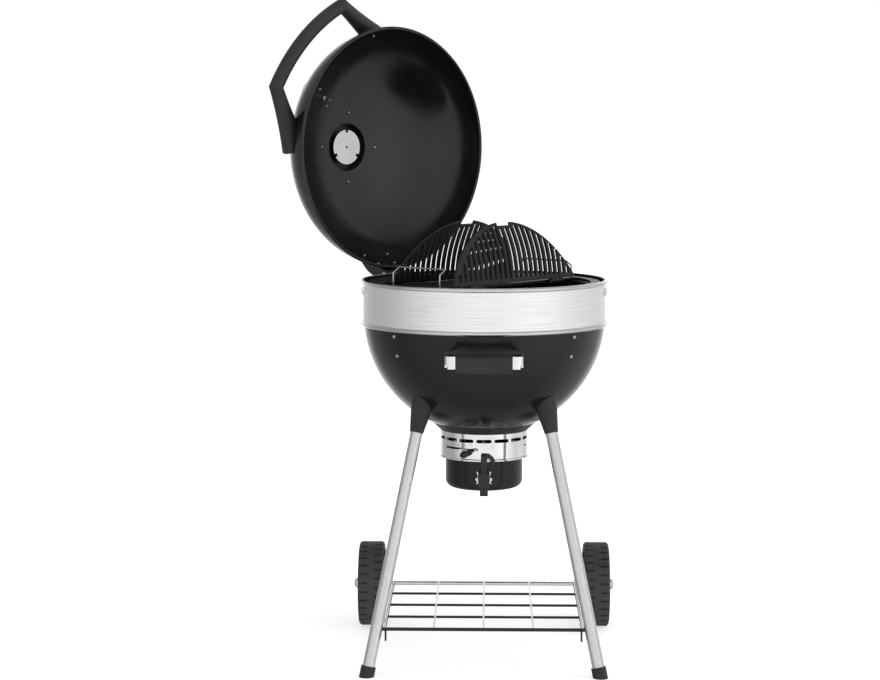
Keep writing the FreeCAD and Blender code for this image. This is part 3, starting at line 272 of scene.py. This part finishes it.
def heat_wire(name):
    """Plain steel rod that has been over a fire."""
    paint = Paint(name, (0.36, 0.35, 0.34), 1.0)
    scale = paint.noise(paint.place(), 120.0, 5.0, 0.65)
    paint.tint(scale, (0.20, 0.19, 0.18), (0.46, 0.45, 0.44))
    paint.rough(scale, 0.30, 0.55)
    return paint.bump([(scale, 0.00005)])


def pale_floor(name):
    """Pale floor that brightens into the backdrop, so that no line shows between them."""
    paint = Paint(name, (0.40, 0.40, 0.40), Specular_IOR_Level=0.1, Emission_Color=(1.0, 1.0, 1.0, 1.0))
    away = paint.node("VectorMath", operation="LENGTH")
    paint.feed(away.inputs[0], paint.node("TexCoord").outputs["Object"])
    glow = paint.spread(away.outputs["Value"], 0.64, 1.0, 0.6, 2.2)
    paint.feed(paint.shader.inputs["Emission Strength"], glow)
    patch = paint.noise(paint.place(), 1.5, 3.0)
    paint.tint(patch, (0.395, 0.395, 0.395), (0.405, 0.405, 0.405))
    paint.rough(patch, 0.8, 0.9)
    return paint.material


SLOTS = {
    "black_enamel": enamel("black_enamel_skin", 0.27),
    "brushed_band": brushed_turn("brushed_band_skin"),
    "bright_steel": polished("bright_steel_skin", (0.62, 0.615, 0.61), 0.16, 0.30),
    "chrome_plate": polished("chrome_plate_skin", (0.80, 0.80, 0.80), 0.05, 0.12),
    "chrome_wire": polished("chrome_wire_skin", (0.52, 0.50, 0.47), 0.16, 0.28, 0.0),
    "black_paint": satin_paint("black_paint_skin", (0.012, 0.012, 0.012)),
    "black_plastic": moulded("black_plastic_skin", (0.014, 0.014, 0.0145)),
    "leg_tube": drawn_tube("leg_tube_skin"),
    "cast_grid": cast("cast_grid_skin"),
    "grate_wire": heat_wire("grate_wire_skin"),
    "dial_face": dial_white("dial_face_skin"),
    "dial_glass": clear_glass("dial_glass_skin"),
    "needle_red": satin_paint("needle_red_skin", (0.42, 0.015, 0.012), 0.3, 0.42),
    "tyre_rubber": rubber("tyre_rubber_skin"),
}


# Nodes whose finish differs a little from the rest of their slot. The lid screws' darker steel is
# painted shade: a dimmed copy of the screw steel.
OWN_SKINS = {
    "lid": enamel("lid_enamel_skin", 0.40),
    # lid screws: steel colour darkened as painted shade
    "lid_screws": polished("lid_screw_painted_shade_skin", (0.26, 0.26, 0.26), 0.25, 0.40),
    "bowl_screws": polished("bowl_screw_skin", (0.42, 0.42, 0.42), 0.22, 0.36),
}


def dress_frame():
    """Gives every node that the frame brings its own skin, or else the one of its slot."""
    slots = {part["node"]: part["material_slot"] for part in frame["record"]["subparts"]}
    for name, node in frame["nodes"].items():
        node.data.materials.clear()
        node.data.materials.append(OWN_SKINS.get(name, SLOTS[slots[name]]))


# ---------------------------------------------------------------- small pieces

def piece_of(name, mesh, slot, body):
    """An object of that mesh, in its slot's skin, riding on a body."""
    mesh.materials.clear()
    mesh.materials.append(SLOTS[slot])
    piece = bpy.data.objects.new(name, mesh)
    bpy.context.scene.collection.objects.link(piece)
    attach(piece, body)


SIZE_PER_DIGIT_HEIGHT = 1.35


def numeral(name, text, height, depth, where, slot, body):
    """A raised numeral. where is a matrix whose X runs along the line and whose Z leaves the surface."""
    curve = bpy.data.curves.new(name + "_line", "FONT")
    curve.body = text
    curve.size = height * SIZE_PER_DIGIT_HEIGHT
    curve.align_x = "CENTER"
    curve.align_y = "CENTER"
    curve.extrude = depth
    line = bpy.data.objects.new(name + "_line", curve)
    bpy.context.scene.collection.objects.link(line)
    mesh = bpy.data.meshes.new_from_object(line.evaluated_get(bpy.context.evaluated_depsgraph_get()))
    bpy.data.objects.remove(line)
    mesh.name = name
    mesh.transform(where)
    piece_of(name, mesh, slot, body)


def basis(origin, x_dir, z_dir):
    """Matrix at origin whose Z is z_dir and whose X is as near x_dir as it can be."""
    z = z_dir.normalized()
    x = (x_dir - z * x_dir.dot(z)).normalized()
    y = z.cross(x)
    return Matrix(((x.x, y.x, z.x, origin.x), (x.y, y.y, z.y, origin.y), (x.z, y.z, z.z, origin.z),
                   (0, 0, 0, 1)))


RING_LIP = 0.0035          # how far the ash ring's lower lip stands out past its wall
RING_MARK_DROP = 0.3762    # from the rim down to the middle of the numerals
RING_MARK_START = -146.0
RING_MARK_STEP = 10.0


def ring_numerals():
    """The air control's 1 to 5, above the lever's slot."""
    low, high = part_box("ash_ring")
    radius = (high.x - low.x) / 2 - RING_LIP + 0.00005
    level = Vector((0, 0, RIM_Z - RING_MARK_DROP))
    for k in range(5):
        angle = math.radians(RING_MARK_START + RING_MARK_STEP * k)
        out = Vector((math.cos(angle), math.sin(angle), 0.0))
        along = Vector((-out.y, out.x, 0.0))
        place = basis(AXIS + out * radius + level, along, out)
        numeral("air_mark_%d" % (k + 1), str(k + 1), 0.0042, 0.0002, place, "black_paint", "base")


# The dial's scale: it runs clockwise from the lower left, in metres on the dial and in degrees.
DIAL_START = 225.0
TICK_STEP = 9.0
TICKS = 31
TICK_OUTER = 0.0285
NUMBER_RADIUS = 0.0178
NUMBER_STEP = 45.0


def dial_frame():
    """The dial's centre, and its outward, upward and sideways directions."""
    low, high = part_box("thermometer_dial")
    turn = JOINTS["needle_turn"]
    out = -Vector(turn["axis"]).normalized()
    centre = Vector(turn["pos_m"])
    centre += out * ((low + high) / 2 - centre).dot(out) + out * 0.0006
    up = Vector((0, 0, 1)) - out * out.z
    up.normalize()
    return centre, out, up, up.cross(out)


def dial_ray(degrees, up, side):
    angle = math.radians(degrees)
    return side * math.cos(angle) + up * math.sin(angle)


def dial_ticks():
    centre, out, up, side = dial_frame()
    verts = []
    faces = []
    for k in range(TICKS):
        inner, half = (0.0225, 0.0005) if k % 5 == 0 else (0.0250, 0.00025)
        ray = dial_ray(DIAL_START - TICK_STEP * k, up, side)
        cross = out.cross(ray)
        start = len(verts)
        for lift in (0.0, 0.0002):
            for r, s in ((inner, -1), (TICK_OUTER, -1), (TICK_OUTER, 1), (inner, 1)):
                verts.append(centre + ray * r + cross * (s * half) + out * lift)
        faces += [tuple(start + i for i in quad) for quad in
                  ((3, 2, 1, 0), (4, 5, 6, 7), (0, 1, 5, 4), (1, 2, 6, 5), (2, 3, 7, 6), (3, 0, 4, 7))]
    mesh = bpy.data.meshes.new("dial_ticks")
    mesh.from_pydata([tuple(v) for v in verts], [], faces)
    piece_of("dial_ticks", mesh, "black_paint", "lid")


def dial_numbers():
    centre, out, up, side = dial_frame()
    for k in range(7):
        ray = dial_ray(DIAL_START - NUMBER_STEP * k, up, side)
        place = basis(centre + ray * NUMBER_RADIUS + out * 0.0001, side, out)
        numeral("dial_number_%d" % k, str(50 + 50 * k), 0.0038, 0.0001, place, "black_paint", "lid")


# ---------------------------------------------------------------- studio

FLOOR_RADIUS = 40.0
WALL_RADIUS = 39.0
WALL_HEIGHT = 60.0
STAGE_SIDES = 96


def stage_ring(radius, z):
    """Points of a circle about the origin, at height z."""
    turns = [2 * math.pi * k / STAGE_SIDES for k in range(STAGE_SIDES)]
    return [Vector((radius * math.cos(turn), radius * math.sin(turn), z)) for turn in turns]


def floor():
    """A wide disc. Gloss on the object doesn't see it: the sky below the horizon stands in."""
    level = CAD_BOX[0].z
    verts = [Vector((0, 0, level))] + stage_ring(FLOOR_RADIUS, level)
    faces = [(0, 1 + k, 1 + (k + 1) % STAGE_SIDES) for k in range(STAGE_SIDES)]
    stage_piece("floor", verts, faces, pale_floor("floor_skin"))


def backdrop():
    """A white wall all round, seen by the camera alone."""
    skin = Paint("backdrop_skin", (0.0, 0.0, 0.0), Emission_Color=(1.0, 1.0, 1.0, 1.0),
                 Emission_Strength=1.0).material
    foot = CAD_BOX[0].z - 1.0
    low = stage_ring(WALL_RADIUS, foot)
    high = stage_ring(WALL_RADIUS, foot + 1.0 + WALL_HEIGHT)
    count = STAGE_SIDES
    faces = [(k, count + k, count + (k + 1) % count, (k + 1) % count) for k in range(count)]
    wall = stage_piece("backdrop", low + high, faces, skin)
    wall.visible_diffuse = False
    wall.visible_shadow = False


# The sky's brightness from front to back, and what its right side adds.
SKY_SHADES = ((0.0, 1.12), (0.20, 0.98), (0.5, 0.42), (0.88, 0.50), (0.98, 1.35))
SKY_RIGHT = (0.35, 0.95, 0.42)


def sky():
    """Soft white room: bright in front, dimmer at the sides, bright again straight behind."""
    world = bpy.data.worlds.new("studio")
    bpy.context.scene.world = world
    world.use_nodes = True
    nodes = world.node_tree.nodes
    link = world.node_tree.links.new
    background = nodes["Background"]
    background.inputs["Strength"].default_value = 1.0
    split = nodes.new("ShaderNodeSeparateXYZ")
    link(nodes.new("ShaderNodeTexCoord").outputs["Generated"], split.inputs[0])

    depth = nodes.new("ShaderNodeMapRange")
    depth.inputs["From Min"].default_value = -1.0
    link(split.outputs["Y"], depth.inputs["Value"])
    fade = nodes.new("ShaderNodeValToRGB")
    for position, shade in SKY_SHADES[1:-1]:
        fade.color_ramp.elements.new(position)
    for element, (position, shade) in zip(fade.color_ramp.elements, SKY_SHADES):
        element.position = position
        element.color = (shade, shade, shade, 1.0)
    link(depth.outputs["Result"], fade.inputs["Fac"])

    side = nodes.new("ShaderNodeMapRange")
    side.interpolation_type = "SMOOTHSTEP"
    for key, value in zip(("From Min", "From Max", "To Max"), SKY_RIGHT):
        side.inputs[key].default_value = value
    link(split.outputs["X"], side.inputs["Value"])

    both = nodes.new("ShaderNodeMixRGB")
    both.blend_type = "ADD"
    both.inputs["Fac"].default_value = 1.0
    link(fade.outputs["Color"], both.inputs["Color1"])
    link(side.outputs["Result"], both.inputs["Color2"])
    link(both.outputs["Color"], background.inputs["Color"])


def lamps():
    softbox("key_left", (-4.6, -1.6, 2.4), (0.0, 0.0, 0.8), 3.0, 4.0, 50.0)
    softbox("key_right", (4.4, -1.2, 2.0), (0.0, 0.0, 0.9), 3.6, 4.0, 120.0)
    softbox("overhead", (0.2, 0.2, 4.6), (0.0, 0.0, 0.6), 5.0, 4.0, 90.0)


def stage_piece(name, verts, faces, skin):
    mesh = bpy.data.meshes.new(name)
    mesh.from_pydata([tuple(v) for v in verts], [], faces)
    mesh.materials.append(skin)
    made = bpy.data.objects.new(name, mesh)
    bpy.context.scene.collection.objects.link(made)
    made.visible_glossy = False
    return made


def softbox(name, where, target, width, height, power):
    """A soft area lamp at a place from the kettle's axis, aimed at another."""
    light = bpy.data.lights.new(name, "AREA")
    light.shape = "RECTANGLE"
    light.size = width
    light.size_y = height
    light.energy = power
    made = bpy.data.objects.new(name, light)
    bpy.context.scene.collection.objects.link(made)
    place = AXIS + Vector(where)
    made.location = place
    aim = AXIS + Vector(target) - place
    made.rotation_euler = aim.to_track_quat("-Z", "Y").to_euler()
    made.visible_camera = False
    made.visible_glossy = False


def camera():
    """Stands 5 m in front of the kettle, 0.4 m above its rim, and looks 6 degrees down."""
    data = bpy.data.cameras.new("camera")
    data.sensor_width = 36.0
    data.lens = 88.5
    data.clip_end = 200.0
    made = bpy.data.objects.new("camera", data)
    bpy.context.scene.collection.objects.link(made)
    made.location = AXIS + Vector((0.0069, -5.0603, RIM_Z + 0.3974))
    made.rotation_euler = (math.radians(90.0 - 6.059), 0.0, math.radians(1.256))
    bpy.context.scene.camera = made


dress_frame()
ring_numerals()
dial_ticks()
dial_numbers()
floor()
backdrop()
sky()
lamps()
camera()
bpy.context.scene.view_settings.view_transform = "Standard"
